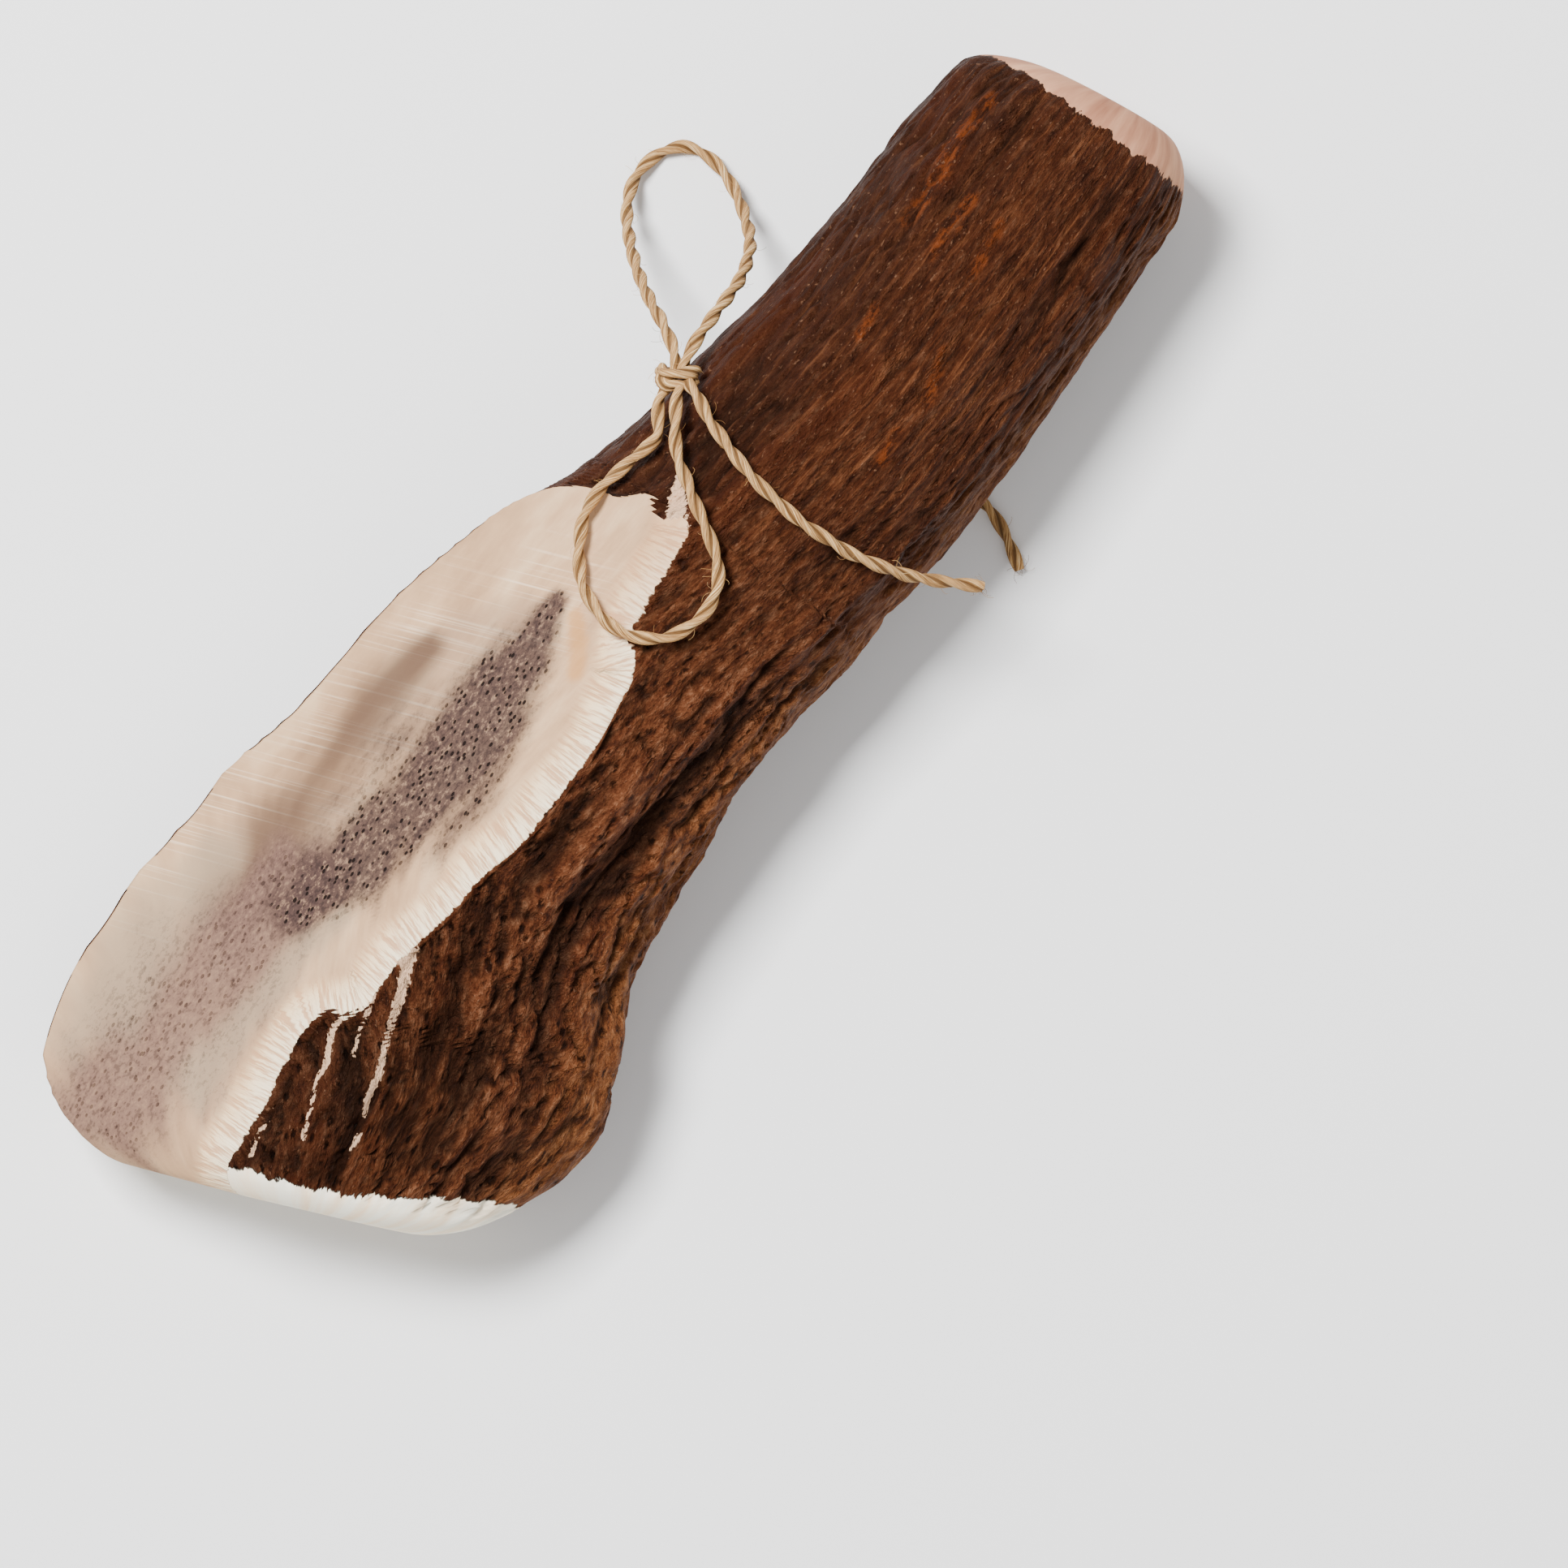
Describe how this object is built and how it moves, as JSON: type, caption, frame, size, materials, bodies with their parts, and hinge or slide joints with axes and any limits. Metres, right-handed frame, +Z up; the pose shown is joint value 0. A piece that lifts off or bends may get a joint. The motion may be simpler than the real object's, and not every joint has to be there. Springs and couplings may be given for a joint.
{
  "type": "split deer antler",
  "caption": "Sawn length of deer antler beam, split lengthwise over its flared lower part to show the marrow, with a jute twine bow.",
  "frame": {"origin": "on the surface that it lies on, under the middle of the antler's own box", "axes": "+X along the beam from the flared butt end to the upper end, +Y to the side that the split faces, +Z up"},
  "size_m": [0.1786, 0.0691, 0.0398],
  "materials": {
    "antler": "rough dark brown bark, sawn cream faces",
    "jute": "twisted 3-ply jute, hairy, matt"
  },
  "bodies": {
    "root": {"antler": "antler", "twine_knot": "jute", "twine_top_loop": "jute", "twine_lower_loop": "jute", "twine_tail": "jute", "twine_under_strand": "jute"}
  },
  "joints": []
}
